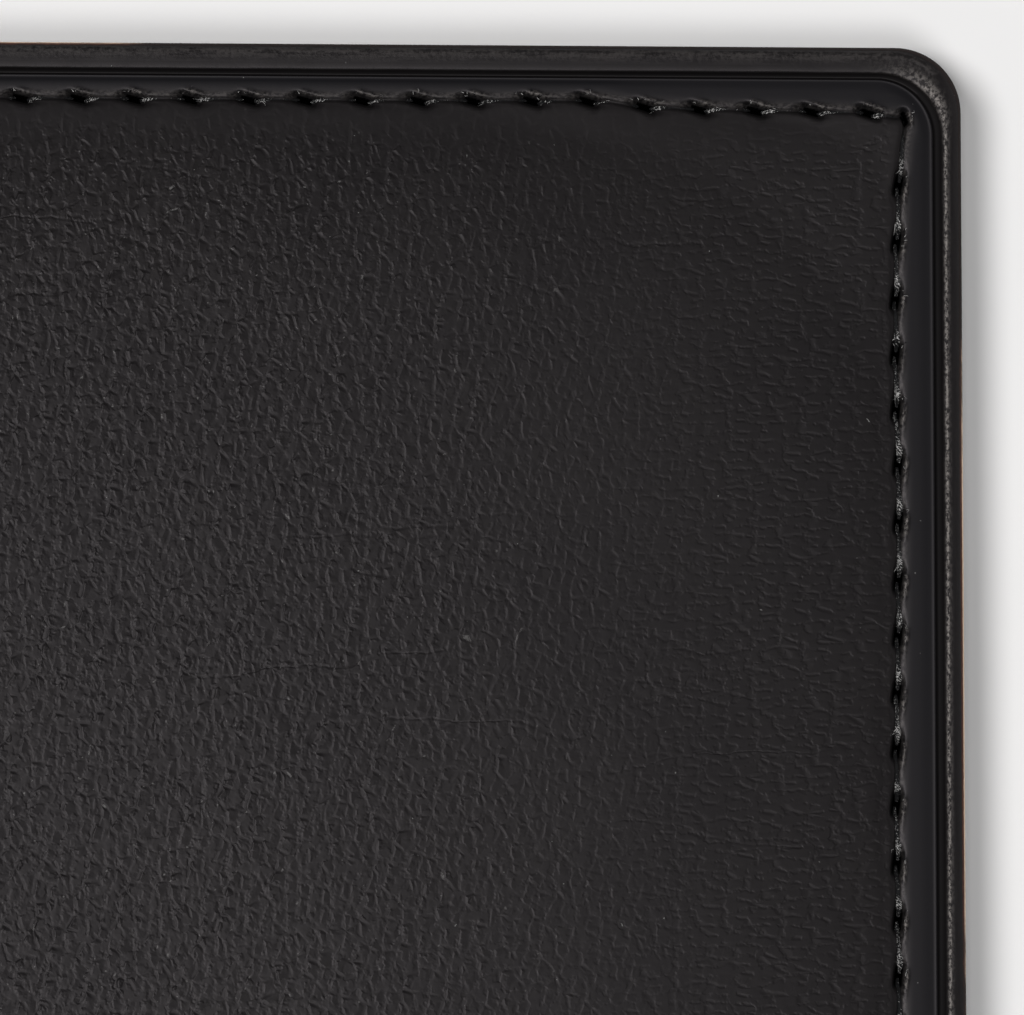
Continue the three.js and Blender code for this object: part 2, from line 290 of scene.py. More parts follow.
def buildGrain():
    look = grainLook
    inputs = {"Place": "Vector", "Cell": "Float", "Pucker": "Float"}
    outputs = {"Height": "Float", "Valley": "Float", "Cloud": "Float"}
    group, inp, out = startGroup("leatherGrain", inputs, outputs)
    place = inp["Place"]
    sockets = {0: noise(place, 0.55, 2.0, 0.5, colour=True), 1: (0.5, 0.5, 0.5)}
    push = addNode("ShaderNodeVectorMath", sockets, operation="SUBTRACT").outputs[0]
    sockets = {0: push, 1: (look["warp"], look["warp"], 0.0), 2: place}
    bent = addNode("ShaderNodeVectorMath", sockets, operation="MULTIPLY_ADD").outputs[0]
    cells = calc("DIVIDE", 1.0, inp["Cell"])

    def net(scale, turn, times, wide):
        spot = stretch(bent, scale, turn)
        sockets = {"Vector": spot, "Scale": mult(cells, times), "Randomness": look["loose"]}
        flat = {"voronoi_dimensions": "2D"}
        gap = addNode("ShaderNodeTexVoronoi", sockets, feature="DISTANCE_TO_EDGE", **flat)
        cell = addNode("ShaderNodeTexVoronoi", sockets, **flat)
        ends = {0: spot, 1: cell.outputs["Position"]}
        lean = addNode("ShaderNodeVectorMath", ends, operation="SUBTRACT")
        plate = ramp(gap.outputs["Distance"], 0.0, wide)
        return plate, mult(split(lean.outputs[0])[0], plate)

    upright, leaning = net((1.06, 0.78, 1.0), 0.32, 1.0, 0.22)
    level, _ = net((0.55, 1.5, 1.0), 0.0, 1.0, 0.3)
    small, smallLeaning = net((1.0, 0.8, 1.0), 0.45, 1.6, 0.28)
    level = plus(mult(level, 0.8), 0.2)
    plate = mixValue(inp["Pucker"], upright, level)
    fade = ramp(noise(place, 1.3, 2.0), 0.4, 0.6, 0.12, 1.0)
    upFade = mult(fade, inverse(inp["Pucker"]))
    elsewhere = stretch(place, (1, 1, 1), 0.0, (31, 7, 0))
    smallFade = ramp(noise(elsewhere, 0.6, 2.0), 0.42, 0.62)
    smallFade = mult(smallFade, inverse(fade), inverse(inp["Pucker"]))
    valley = mult(inverse(plate), fade)
    smallValley = mult(inverse(small), smallFade)
    long = stretch(bent, (0.045, 0.17, 1.0), 0.3)
    fold = calc("SUBTRACT", noise(long, 1.0, 2.0), 0.5)
    broad = stretch(place, (0.03, 0.05, 1.0), 0.0, (5, 3, 0))
    patch = ramp(noise(broad, 1.0, 1.0), 0.5, 0.62)
    crease = ramp(calc("ABSOLUTE", fold), 0.0, 0.025, 1.0, 0.0)
    crease = mult(crease, plus(mult(fade, 0.6), 0.4), patch)
    height = plus(
        mult(valley, mixValue(inp["Pucker"], look["valley"], look["puckerValley"])),
        mult(leaning, upFade, look["leaning"]),
        mult(smallValley, look["smallValley"]),
        mult(smallLeaning, smallFade, look["smallLeaning"]),
        mult(crease, look["crease"]),
        mult(noise(place, 5.0, 3.0, 0.6), look["pores"]),
        mult(noise(place, 0.9, 2.0), look["swell"]),
    )
    setSockets(out, {"Height": height, "Valley": valley, "Cloud": noise(place, 0.07, 3.0)})
    return group


# a few pale specks and short hairs of lint; the same specks also make the painted glints on the grain's
# plates
def buildLintAndGlints():
    inputs = {"Place": "Vector", "Spread": "Float", "Size": "Float"}
    group, inp, out = startGroup("lintAndGlintSpecks", inputs, {"Mask": "Float"})
    sockets = {0: noise(inp["Place"], 0.3, 1.0, colour=True), 1: (3.0, 3.0, 0.0), 2: inp["Place"]}
    moved = addNode("ShaderNodeVectorMath", sockets, operation="MULTIPLY_ADD").outputs[0]
    sockets = {"Vector": moved, "Scale": calc("DIVIDE", 1.0, inp["Spread"])}
    node = addNode("ShaderNodeTexVoronoi", sockets, voronoi_dimensions="2D")
    chance, amount, _ = split(node.outputs["Color"])
    reach = calc("MULTIPLY", node.outputs["Distance"], inp["Spread"])
    broken = ramp(noise(inp["Place"], 14.0, 2.0), 0.35, 0.6, 0.3, 1.3)
    size = mult(inp["Size"], ramp(amount, 0.0, 1.0, 0.5, 1.3), broken)
    spot = mult(calc("LESS_THAN", reach, size), calc("GREATER_THAN", chance, 0.8))
    setSockets(out, {"Mask": spot})
    return group


# the cut edge: brown fibre under a dark dressing that has worn off in places
edgeLook = {
    "tan": (rgb(0.60, 0.40, 0.27), rgb(0.95, 0.74, 0.57)),
    "brown": (rgb(0.028, 0.013, 0.010), rgb(0.12, 0.048, 0.032)),
    "dressing": rgb(0.016, 0.011, 0.010),
}


def buildRawEdge():
    inputs = {"Along": "Float", "Across": "Float", "Worn": "Float"}
    outputs = {"Colour": "Color", "Share": "Float", "Height": "Float"}
    group, inp, out = startGroup("rawEdge", inputs, outputs)
    spot = joinXY(inp["Along"], inp["Across"])
    fibre = noise(stretch(spot, (1.6, 7.0, 1.0)), 1.0, 4.0, 0.65)
    patch = noise(spot, 0.3, 3.0)
    bare = plus(mult(patch, 0.45), mult(fibre, 0.25), inp["Worn"])
    bare = ramp(bare, 0.62, 0.95)
    pale = ramp(plus(inp["Across"], mult(fibre, 0.08)), 0.12, 0.2, 1.0, 0.0)
    tan, brown = (mixColour(fibre, *edgeLook[key]) for key in ("tan", "brown"))
    core = mixColour(pale, brown, tan)
    colour = mixColour(bare, edgeLook["dressing"], core)
    reach = ramp(plus(inp["Across"], mult(fibre, -0.1)), 0.14, 0.26, 1.0, 0.0)
    setSockets(out, {"Colour": colour, "Share": reach, "Height": mult(fibre, 0.03)})
    return group


# matted fibres of felt, board and cloth
def buildFuzz():
    inputs = {"Place": "Vector", "Length": "Float"}
    group, inp, out = startGroup("mattedFibres", inputs, {"Shade": "Float", "Height": "Float"})
    scale = calc("DIVIDE", 1.0, inp["Length"])
    ways = []
    for thin, turn in (((0.25, 1.6, 1.0), 0.6), ((1.6, 0.25, 1.0), 0.2)):
        ways.append(noise(stretch(inp["Place"], thin, turn), scale, 4.0, 0.65, flat="3D"))
    both = calc("MAXIMUM", *ways)
    setSockets(out, {"Shade": both, "Height": mult(both, 0.12)})
    return group


leatherGrain, lintAndGlintSpecks = buildGrain(), buildLintAndGlints()
rawEdge, mattedFibres = buildRawEdge(), buildFuzz()
print("groups: grain, lint, raw edge, fibres")

# outer leather
leatherLook = {
    "cell": 0.95,                               # size of the grain's plates
    "field": rgb(0.0040, 0.0034, 0.0036),
    "fieldLight": rgb(0.0052, 0.0045, 0.0046),
    "band": rgb(0.0036, 0.0036, 0.0046),        # pressed smooth beside the seam
    # the bead is lighter in worn streaks; up the fore edge its inner flank, which faces the light, is also a
    # painted highlight
    "bead": rgb(0.0310, 0.0280, 0.0270),
    # wear at the corner and torn fibres by the seam, and painted highlights on the pits' lips and the fore
    # edge's bead ridge
    "wearAndHighlight": rgb(0.235, 0.214, 0.200),
    "lint": rgb(0.13, 0.13, 0.125),
    "glint": rgb(0.085, 0.082, 0.080),          # painted glints: pale specks that stand in for highlights on the plates' edges
    "paintedShade": rgb(0.0004, 0.0004, 0.0004),        # painted shade: near black down in needle holes, along the seam's channel and in the crease
    "specular": 0.206,
    "rough": 0.445,
    "tint": rgb(1.0, 0.93, 0.955),
    "notch": 0.57,                              # from one mark of the edge tool to the next
    "lintSpots": (3.4, 0.04),                   # how far apart and how wide
    "glintSpots": (0.62, 0.06),
    "valleyRough": 0.055,                       # added in the grain's valleys
    "bandRough": 0.44,
    "beadRough": (0.48, 0.66),
    "deepRough": 0.92,
}


def leatherFinish(name, look):
    finish, shader = startFinish(name)
    place = readField("flatPlace")
    along, inset, worn = split(readField("rimPlace"))
    grainy, pucker, wearAndHighlight = split(readField("skinMask"))
    paintedShade, bead, band = split(readField("rimMask"))
    grain = useGroup(leatherGrain, {"Place": place, "Cell": look["cell"], "Pucker": pucker})
    spot = joinXY(along, inset)
    streak = noise(stretch(spot, (0.35, 5.0, 1.0)), 1.0, 4.0, 0.6)
    blotches = noise(stretch(spot, (3.0, 5.0, 1.0)), 1.0, 4.0, 0.75)
    notch = calc("SINE", mult(along, tau / look["notch"]))
    edge = useGroup(rawEdge, {"Along": along, "Across": inset, "Worn": worn})
    lint, glint = (
        useGroup(lintAndGlintSpecks, {"Place": place, "Spread": apart, "Size": wide})["Mask"]
        for apart, wide in (look["lintSpots"], look["glintSpots"])
    )
    # painted glints kept to the plates' edges, away from the puckers
    glint = mult(glint, ramp(grain["Valley"], 0.1, 0.5), grainy, inverse(pucker))

    colour = mixColour(ramp(grain["Cloud"], 0.35, 0.65), look["field"], look["fieldLight"])
    colour = mixColour(glint, colour, look["glint"])
    colour = mixColour(band, colour, look["band"])
    beadStreaks = ramp(plus(mult(streak, 0.5), mult(blotches, 0.5)), 0.4, 0.58)
    colour = mixColour(mult(bead, beadStreaks), colour, look["bead"])
    # wear, and painted highlights on the lips and the fore edge's ridge
    colour = mixColour(mult(wearAndHighlight, ramp(blotches, 0.4, 0.62)), colour, look["wearAndHighlight"])
    colour = mixColour(edge["Share"], colour, edge["Colour"])
    # painted shade: holes, channel and crease turn near black
    colour = mixColour(paintedShade, colour, look["paintedShade"])
    colour = mixColour(mult(lint, inverse(edge["Share"])), colour, look["lint"])

    rough = ramp(grain["Valley"], 0.0, 1.0, look["rough"], look["rough"] + look["valleyRough"])
    rough = mixValue(band, rough, look["bandRough"])
    rough = mixValue(bead, rough, ramp(streak, 0.2, 0.8, *look["beadRough"]))
    rough = mixValue(calc("MAXIMUM", edge["Share"], paintedShade), rough, look["deepRough"])
    setSockets(shader.inputs, {
        "Base Color": colour,
        "Roughness": rough,
        "Metallic": ramp(paintedShade, 0.75, 1.0),   # painted shade: metal with a near-black colour also takes the reflection out of the holes
        "Specular IOR Level": look["specular"],
        "Specular Tint": look["tint"],
    })

    height = plus(
        mult(grain["Height"], grainy),
        mult(bead, calc("SUBTRACT", streak, 0.5), 0.04),
        mult(bead, blotches, 0.07),
        mult(bead, notch, 0.003),
        mult(wearAndHighlight, blotches, 0.06),
        mult(edge["Share"], edge["Height"]),
    )
    setBump(shader, height)
    return finish


seamLook = {
    "pitTurn": (0.264, 0.12),   # slant of each pit, in radians
    "pitLong": 0.82,
    "pitWide": 0.33,
    "pitDeep": (0.68, 0.8),
    "pitShadeSize": (0.82, 0.95),   # how much of a pit gets black painted shade
    "channel": (0.11, 0.2),
    # dark painted shade along the channel between the pits
    "channelShade": (0.3, 0.8),
    "lip": 0.15,
    "jitter": 0.09,
}


# of a pair, the first holds along head and tail and the second up the fore edge
def byEdge(fore, pair):
    return np.where(fore, pair[1], pair[0])


# how far the seam strays inwards of its line: along the tail, up the fore edge and along the head
drifts = {
    "front": (
        [(-90, 0.0), (-80, 0.0), (-30, -0.12), (25, 0.15), (79, 0.0)],
        [(-118, 0.0), (-60, 0.15), (10, 0.0), (40, 0.2), (58, 0.36), (66, 0.46), (72, 0.4), (79, 0.26),
         (88, 0.18), (95, 0.34), (102, 0.32), (108, 0.1), (113, -0.32), (118, -0.35)],
        [(-90, 0.0), (-80, 0.0), (-45, 0.12), (-8, -0.2), (18, -0.34), (45, -0.32), (58.5, -0.38),
         (61.5, 0.0), (65, 0.14), (72, 0.24), (76.5, 0.32), (79.5, 0.62)],
    ),
    "back": ([(-120, 0.0), (-84, 0.0), (-80, 0.0), (-40, 0.1), (30, -0.12), (120, 0.0)],) * 3,
}
stitchCounts = {"ends": 43, "fore": 60}
# stitch numbers and how far each is from the corner, where the stitches are not even
unevenHead = {"front": [(1, 2.45), (16, 59.35)], "back": [(10, 37.6)]}
unevenFore = {"front": [(1, 4.6), (16, 61.4)], "back": [(20, 76.3)]}


# needle holes from the spine along the tail, up the fore edge and back along the head
def seamHoles(side):
    tailD, foreD, headD = drifts[side]
    rng = np.random.default_rng({"front": 11, "back": 12}[side])
    seam = cover["seam"]

    def row(start, end, count, knots=()):
        numbers, places = zip(*[(0, 0.0), *knots, (count, abs(end - start))])
        line = np.interp(np.arange(count + 1), numbers, places)
        line[1:-1] += rng.uniform(-1, 1, count - 1) * seamLook["jitter"]
        return start + math.copysign(1, end - start) * line

    tailEnd = foreX - seam - throughKnots(-headY, foreD)
    headEnd = foreX - seam - throughKnots(headY, foreD)
    low = -headY + seam + throughKnots(tailEnd, tailD)
    high = headY - seam - throughKnots(headEnd, headD)
    tail = row(midSpine, tailEnd, stitchCounts["ends"])
    fore = row(high, low, stitchCounts["fore"], unevenFore[side])[::-1]
    head = row(headEnd, midSpine, stitchCounts["ends"], unevenHead[side])
    spots = [(s, -headY + seam + throughKnots(s, tailD)) for s in tail]
    spots += [(foreX - seam - throughKnots(y, foreD), y) for y in fore[1:-1]]
    spots += [(s, headY - seam - throughKnots(s, headD)) for s in head]
    return np.array(spots), tail, fore, head


cornerFrom = 7.4   # the corner's fan starts this far from both edges
fanColumns = 36
# where columns of points stand between one needle hole and the next
finePattern = np.array([0, 0.058, 0.116, 0.174, 0.237, 0.39, 0.61, 0.763, 0.826, 0.884, 0.942])
plainPattern = np.array([0, 0.25, 0.5, 0.75])
pocketPattern = np.array([0, 0.09, 0.18, 0.27, 0.5, 0.73, 0.82, 0.91])


def betweenHoles(places, pattern, low, high):
    gaps = places[:-1, None] + pattern[None] * np.diff(places)[:, None]
    line = np.append(gaps.ravel(), places[-1])
    return line[(line > low) & (line < high)]


# inset and height of rows: from the leather's underside round the cut edge, over bead, crease and band
edgeRows = [
    (2.5, -1.0), (0.12, -1.0), (0.02, -0.95), (0.0, -0.85), (0.02, -0.70), (0.06, -0.56), (0.11, -0.44),
    (0.17, -0.33), (0.24, -0.25), (0.32, -0.18), (0.42, -0.115), (0.56, -0.04), (0.78, 0.015), (1.0, 0.03),
    (1.12, 0.024), (1.2, 0.006), (1.27, -0.015), (1.33, -0.06), (1.39, -0.13), (1.46, -0.22), (1.55, -0.33),
    (1.65, -0.41), (1.74, -0.44), (1.82, -0.41), (1.88, -0.34), (1.93, -0.25), (1.98, -0.155), (2.04, -0.1),
    (2.09, -0.098), (2.15, -0.112), (2.3, -0.108), (2.55, -0.06), (2.9, -0.025), (3.2, -0.01),
]
beadRow = 13   # the top of the bead
seamRows = [
    3.38, 3.5, 3.6, 3.69, 3.78, 3.86, 3.94, 4.02, 4.11, 4.2, 4.29, 4.38, 4.46, 4.53, 4.6, 4.68,
    4.78, 4.95, 5.2, 5.6, 6.2,
]
# inset, and the corner's radius there
cornerRadii = [
    (-1, 4.4), (0.6, 4.4), (1.74, 4.0), (2.4, 3.5), (3.4, 1.4), (4.2, 0.35), (5.0, 0.35), (7.5, 0.6),
]
# inset, and how much wider the bead is there along head and tail
widerBead = [(0.5, 0.0), (1.25, 0.54), (1.95, 0.3), (2.5, 0.1), (3.2, 0.0)]


# how much of the seam's straying a row shares
def seamShare(rho):
    return between(rho, 2.3, 3.4, 5.0, 6.2)


# flat rows of points; each row is a U round tail, fore edge and head that starts and ends at the spine
def rimLines(rows, side, tailAt, foreAt, headAt):
    tailD, foreD, headD = drifts[side]
    lines = []
    for rho in rows:
        follow = seamShare(rho)
        radius = np.interp(rho, *np.array(cornerRadii).T)
        ends = rho + np.interp(rho, *np.array(widerBead).T)
        tailIn = ends + follow * throughKnots(tailAt, tailD)
        foreIn = rho + follow * throughKnots(foreAt, foreD)
        headIn = ends + follow * throughKnots(headAt, headD)
        line = [np.stack([tailAt, -headY + tailIn], -1)]
        corners = (-1, tailIn[-1], foreIn[0], tailD), (1, headIn[0], foreIn[-1], headD)
        for sign, nearY, nearX, drift in corners:
            endY = ends + follow * throughKnots(foreX, drift)
            endX = rho + follow * throughKnots(sign * headY, foreD)
            legY, legX = cornerFrom - endY - radius, cornerFrom - endX - radius
            walk = np.linspace(0, legY + legX + radius * math.pi / 2, fanColumns)
            angle = np.clip((walk - legY) / radius, 0, math.pi / 2)
            before = np.maximum(legY - walk, 0)
            past = np.maximum(walk - legY - radius * math.pi / 2, 0)
            fanX = foreX - endX - radius + radius * np.cos(angle) - past
            fanY = headY - endY - radius + radius * np.sin(angle) - before
            fanX = fanX + (endX - nearX) * smooth(0, legY, before)
            fanY = fanY + (endY - nearY) * smooth(0, legX, past)
            fan = np.stack([fanX, sign * fanY], -1)
            if sign < 0:
                line += [fan[::-1], np.stack([foreX - foreIn, foreAt], -1)]
            else:
                line += [fan, np.stack([headAt, headY - headIn], -1)]
        lines.append(np.concatenate(line))
    return np.array(lines)


# a U of rows joined to a grid that fills it
def rimmedSheet(side, rho, holes, pattern, gridS, gridY):
    _, tail, fore, head = holes
    edgeS, edgeY = foreX - cornerFrom, headY - cornerFrom
    tailAt = np.append(midSpine, betweenHoles(tail, pattern, midSpine + 0.05, edgeS - 0.1))
    foreAt = betweenHoles(fore, pattern, -edgeY + 0.1, edgeY - 0.1)
    headAt = np.append(betweenHoles(head[::-1], pattern, midSpine + 0.05, edgeS - 0.1)[::-1], midSpine)
    rim = rimLines(rho, side, tailAt, foreAt, headAt)
    count = rim.shape[1]
    field = np.stack(np.meshgrid(gridS, gridY, indexing="ij"), -1)
    index = len(rho) * count + np.arange(field.shape[0] * field.shape[1]).reshape(field.shape[:2])
    wide, tall = gridS[-1] - midSpine, gridY[-1] - gridY[0]
    border = np.concatenate([index[:, 0], index[-1, 1:], index[-2::-1, -1]])
    shareS, shareY = (gridS - midSpine) / wide, (gridY - gridY[0]) / tall
    borderAt = np.concatenate([shareS, 1 + shareY[1:], 3 - shareS[-2::-1]])
    rimAt = np.concatenate([
        (tailAt - midSpine) / wide,
        np.linspace(0.998, 1.002, fanColumns),
        1 + (foreAt - gridY[0]) / tall,
        np.linspace(1.998, 2.002, fanColumns),
        3 - (headAt - midSpine) / wide,
    ])
    last = np.arange((len(rho) - 1) * count, len(rho) * count)
    faces = gridFaces(len(rho), count) + zipFaces(last, rimAt, border, borderAt)
    faces += [f[::-1] for f in gridFaces(*field.shape[:2], len(rho) * count)]
    return rim, field, faces


# the padding: a steep shoulder beside the seam and a long swell
padLook = {
    "from": 4.5,         # inset where it starts to rise
    "spineFrom": 3.6,
    # share of the height, reach from the fore edge, reach from the other edges, squareness of the corners
    "terms": [(0.33, 20.0, 12.0, 4.0), (0.67, 46.0, 31.0, 3.0)],
}


def padRise(s, y, fore=0.0, ends=0.0):
    total = 0.0
    for share, foreRun, run, power in padLook["terms"]:
        foreGap = (foreX - s - fore - padLook["from"]) / foreRun
        endGap = (headY - np.abs(y) - ends - padLook["from"]) / run
        gaps = [foreGap, endGap, (s + foreX - padLook["spineFrom"]) / run]
        left = sum((1 - np.clip(g, 0, 1)) ** power for g in gaps) ** (1 / power)
        total = total + share * (1 - np.clip(left, 0, 1) ** 2)
    return cover["padding"] * total


# sunk channel, slanted pits and their lips, and the painted shade down in pits and channel; off counts from
# the line of stitches towards the field
def seamRelief(points, off, spots, size=1.0):
    flat = points.reshape(-1, 2)
    batches = np.array_split(flat, 40)
    nearest = np.concatenate([((p[:, None] - spots[None]) ** 2).sum(-1).argmin(1) for p in batches])
    earlier = spots[np.maximum(nearest - 1, 0)]
    run = unit(spots[np.minimum(nearest + 1, len(spots) - 1)] - earlier)
    before = spots[nearest] - earlier
    sharp = np.abs((before * run).sum(1)) < 0.9 * np.linalg.norm(before, axis=1)
    gap = (flat - spots[nearest]) * (1 + 0.5 * sharp)[:, None]   # a corner's pit is small
    a = (gap * run).sum(1) / size
    b = (gap[:, 1] * run[:, 0] - gap[:, 0] * run[:, 1]) / size
    look = seamLook
    fore = np.abs(run[:, 1]) > np.abs(run[:, 0])
    turn, black = byEdge(fore, look["pitTurn"]), byEdge(fore, look["pitShadeSize"])
    u = a * np.cos(turn) - b * np.sin(turn)
    v = a * np.sin(turn) + b * np.cos(turn)
    w = off.ravel() / size
    pit = np.exp(-np.abs(u / look["pitLong"]) ** 6 - np.abs(v / look["pitWide"]) ** 4)
    relief = -byEdge(fore, look["channel"]) * hump(w, 0.0, 0.1) * (1 - 0.6 * pit)
    relief = relief - byEdge(fore, look["pitDeep"]) * pit
    lip = np.exp(-(((v + 0.48) / 0.13) ** 2) - np.abs((u + 0.25) / 0.65) ** 4)   # on the pit's outer side
    lip *= 0.75 + 0.5 * wander(3.1 * nearest + 0.4 * u, 0.2, 77)
    relief += look["lip"] * lip
    # painted shade: black ovals in the pits and a dark line along the channel
    paintedShade = 1.25 * np.exp(-np.abs(u / black / 0.88) ** 6 - np.abs(v / black / 0.39) ** 4)
    paintedShade = paintedShade + byEdge(fore, look["channelShade"]) * hump(w, 0.0, 0.12)
    return [values.reshape(off.shape) for values in (size * relief, np.clip(paintedShade, 0, 1), lip)]


def steps(low, high, edge, fine, coarse):
    inner = np.linspace(low + edge, high - edge, round((high - low - 2 * edge) / coarse) + 1)
    rim = np.arange(0, edge - fine / 2, fine)
    return np.concatenate([low + rim, inner, (high - rim)[::-1]])


# where the dressing has worn off the cut edge: middle, reach and depth
wearSpots = {
    "front": {
        "fore": [(77, 21, 0.78), (30, 12, 0.3), (-50, 20, 0.35)],
        "head": [(22, 9, 0.5), (-40, 15, 0.3)],
    },
    "back": {"fore": [(20, 30, 0.3), (-80, 14, 0.4)], "head": [(-10, 25, 0.3)]},
}
rimLook = {
    "dip": (0.03, 0.075),        # the leather sinks towards its seam
    "line": (0.008, 0.0),        # pressed just inside the crease
    "bumpy": 0.012,              # unevenness of the bead
    "creaseEnd": (1.68, 1.86),
    # painted shade down in the crease
    "creaseShade": 0.75,
    "swell": 0.04,               # unevenness of the padding
    "grainReach": (4.5, 0.7),    # the grain takes this far to start beside the seam
    # painted highlight on the pits' outer lips, along the ends and up the fore edge
    "lipHighlight": (0.55, 0.85),
    "cornerScuff": 0.55,
    "seamScuff": 0.13,
}
gridSteps = (11, 1.0, 2.6)   # the grid's border, its step there and its step inside
bendColumns = 22


def acrossSheet(flatPart):
    return np.append(np.linspace(midSpine, flatFrom, bendColumns)[:-1], flatPart)


# where the finish lies: the two halves carry on from each other at the middle of the spine
def sheetPlace(side, s, y):
    return np.stack([s if side == "front" else 2 * midSpine - s, y, 0 * s], -1)


def buildSkin(side, finish, place, flip):
    holes, look = seamHoles(side), rimLook
    seed = {"front": 3, "back": 40}[side]
    insets, heights = np.array(edgeRows).T
    rho = np.append(insets, seamRows)
    gridS = acrossSheet(steps(flatFrom, foreX - fieldEdge, *gridSteps))
    gridY = steps(fieldEdge - headY, headY - fieldEdge, *gridSteps)
    rim, field, faces = rimmedSheet(side, rho, holes, finePattern, gridS, gridY)
    rhoGrid = np.repeat(rho[:, None], rim.shape[1], 1)
    along = np.append(0, np.cumsum(np.linalg.norm(np.diff(rim[beadRow], axis=0), axis=1)))
    alongGrid = np.repeat(along[None], len(rho), 0)
    tailD, foreD, headD = drifts[side]
    follow = seamShare(rhoGrid)
    foreShift = follow * throughKnots(rim[..., 1], foreD)
    ends = np.where(rim[..., 1] > 0, throughKnots(rim[..., 0], headD), throughKnots(rim[..., 0], tailD))
    atFore = foreX - rim[..., 0] < headY - np.abs(rim[..., 1])

    rise, paintedShade, lip = np.zeros((3, *rhoGrid.shape))
    rise[: len(edgeRows)] = heights[:, None]
    top = len(edgeRows) - 2
    off = rhoGrid - cover["seam"]
    relief, paintedShade[top:], lip[top:] = seamRelief(rim[top:], off[top:], holes[0])
    rise[top:] -= (byEdge(atFore, look["dip"]) * hump(off, 0.0, np.where(off < 0, 0.5, 0.28)))[top:]
    rise -= byEdge(atFore, look["line"]) * hump(rhoGrid, 2.08, 0.07)
    rise[top:] += relief + padRise(rim[top:, :, 0], rim[top:, :, 1], foreShift[top:], (follow * ends)[top:])
    bumpy = look["bumpy"] * (wander(alongGrid, 1.7, seed) + wander(alongGrid, 6.0, seed + 1))
    rise += bumpy * between(rhoGrid, 0.3, 0.6, 1.2, 1.4)
    # painted shade down in the crease, up to its inner wall
    pastCrease = smooth(0.0, 0.1, rhoGrid - byEdge(atFore, look["creaseEnd"]))
    paintedShade = np.maximum(paintedShade, look["creaseShade"] * smooth(1.42, 1.6, rhoGrid) * (1 - pastCrease))

    swell = wander(field[..., 0] / 19 + field[..., 1] / 23, 1.0, seed + 2)
    swell = swell + wander(field[..., 1] / 17 - field[..., 0] / 29, 1.0, seed + 3)
    calm = smooth(7, 16, np.minimum(foreX - field[..., 0], headY - np.abs(field[..., 1])))
    calm = calm * smooth(flatFrom, flatFrom + 12, field[..., 0])
    fieldRise = padRise(field[..., 0], field[..., 1]) - look["swell"] * np.abs(swell) * calm

    # from here on one value for each point, of the rim first and then of the field
    def overField(rimValues, fieldValue=0.0):
        return np.append(rimValues.ravel(), np.full(field[..., 0].size, fieldValue))

    s, y = np.concatenate([rim.reshape(-1, 2), field.reshape(-1, 2)]).T
    h = np.append(rise.ravel(), fieldRise.ravel())
    inset, paintedShade, along = overField(rhoGrid, 9.0), overField(paintedShade), overField(alongGrid)
    band = between(inset, 1.9, 2.1, 3.2, 4.0)
    edgeGap = np.minimum(foreX - s, headY - np.abs(y))
    toFore = foreX - s < headY - np.abs(y)
    # up the fore edge the bead gets lighter towards its inner flank, which faces the light: painted highlight
    # over the wear
    foreBead = 0.1 + 0.3 * smooth(0.75, 1.05, inset)
    endBead = between(inset, 0.3, 0.5, 0.6, 0.9)
    bead = (1 - smooth(1.25, 1.45, inset)) * np.where(toFore, foreBead, endBead)
    reach = byEdge(toFore, look["grainReach"]) * (1 + 0.35 * wander(s + y * 1.7, 9.0, seed + 5))
    grainy = np.where(inset < cover["seam"], 0.03, 0.1 + 0.9 * smooth(4.7, 4.7 + reach, edgeGap))
    grainy = grainy * (1 - 0.5 * smooth(30, 62, s))
    pucker = 1 - smooth(12, 34, foreX - s)
    worn = 0.1 * wander(along, 14.0, seed + 6)
    for middle, wide, depth in wearSpots[side]["fore"]:
        worn += depth * hump(y, middle, wide) * toFore
    for middle, wide, depth in wearSpots[side]["head"]:
        worn += depth * hump(s, middle, wide) * ~toFore * (y > 0)
    corner = np.hypot(s - (foreX - 2.4), np.abs(y) - (headY - 3.4))
    wearAndHighlights = [
        look["cornerScuff"] * hump(corner, 0.0, 2.4) * between(inset, 0.7, 1.0, 1.25, 1.42),
        look["seamScuff"] * hump(inset, 3.9, 0.2),   # torn fibres beside the stitches
        # painted highlight on the pits' outer lips
        overField(byEdge(atFore, look["lipHighlight"]) * np.clip(lip, 0, 1)),
        toFore * hump(inset, 1.14, 0.1),             # painted highlight on the bead's inner ridge up the fore edge, the flank that faces the light
    ]
    fields = {
        "flatPlace": sheetPlace(side, s, y),
        "rimPlace": np.stack([along, inset, worn], -1),
        "skinMask": np.stack([grainy, pucker, np.max(wearAndHighlights, 0)], -1),
        "rimMask": np.stack([paintedShade, bead, band], -1),
    }
    return holes, makePiece(side + "_skin", place(s, y, h), faces, finish, fields, flip)


skinFinish = leatherFinish("blackLeather", leatherLook)
frontHoles, frontSkin = buildSkin("front", skinFinish, frontPlace, False)
backHoles, backSkin = buildSkin("back", skinFinish, backPlace, True)
print("skins:", len(frontSkin.data.polygons), "faces each")

# thread
threadLook = {
    "dark": rgb(0.0045, 0.0045, 0.005),
    # painted glints on the thread's fibres
    "glint": rgb(0.42, 0.41, 0.40),
    "rough": 0.55,
    "plies": 3,
    "lay": 1.05,     # length of one turn of the plies
    "radius": 0.185,
    "specular": 0.22,
    "hairs": 12,     # frayed fibres at each pit
    "hairWide": (0.022, 0.04),
    # wider, higher and with more painted glints: along the ends, then up the fore edge
    "ways": ((1.0, 0.0, 0.0), (1.18, 0.05, 0.2)),
}
evenWays = ((1.0, 0.0, 0.0),) * 2
hairSteps = 4
hairShape = np.array([(0, 0.6, 0.8), (0, 0.6, -0.8), (0.8, -0.6, 0.0)])   # a hair is a thin three-sided tube


